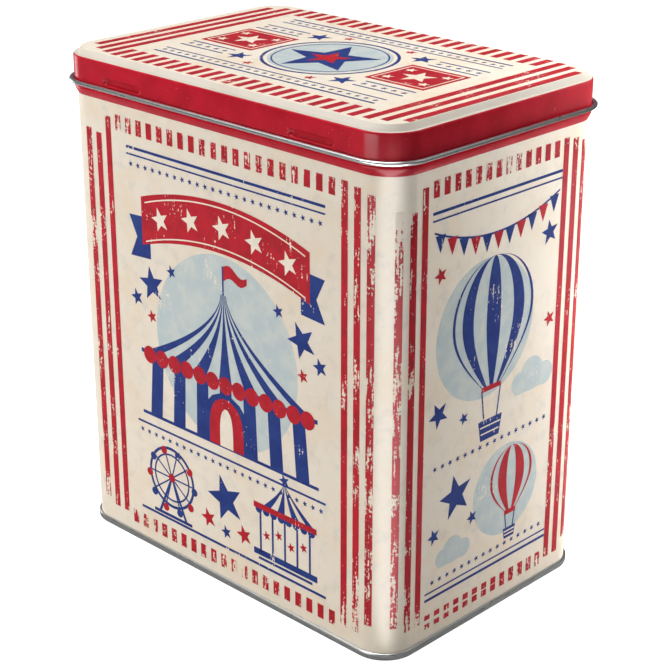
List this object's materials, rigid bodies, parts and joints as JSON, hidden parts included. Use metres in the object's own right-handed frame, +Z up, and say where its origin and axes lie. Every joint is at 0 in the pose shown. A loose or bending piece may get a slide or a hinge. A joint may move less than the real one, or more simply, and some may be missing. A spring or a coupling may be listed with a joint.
{
  "type": "printed storage tin",
  "caption": "Tall rectangular storage tin of printed tinplate with rounded corners, shut by a lift-off lid with a curled edge, on a seamed base.",
  "frame": {"origin": "middle of the footprint, on the surface that the base seam stands on", "axes": "+Z up through the lid; X along the long sides; Y along the short sides, with the long front side facing -Y"},
  "size_m": [0.166, 0.1118, 0.1875],
  "materials": {
    "printed_tinplate": "satin cream lacquer with red, navy and pale blue print",
    "red_lacquer": "satin red lacquer",
    "bare_tinplate": "bright bare tinplate"
  },
  "bodies": {
    "root": {"tin_body": "printed_tinplate", "tin_lid": "red_lacquer", "tin_base": "bare_tinplate"}
  },
  "joints": []
}
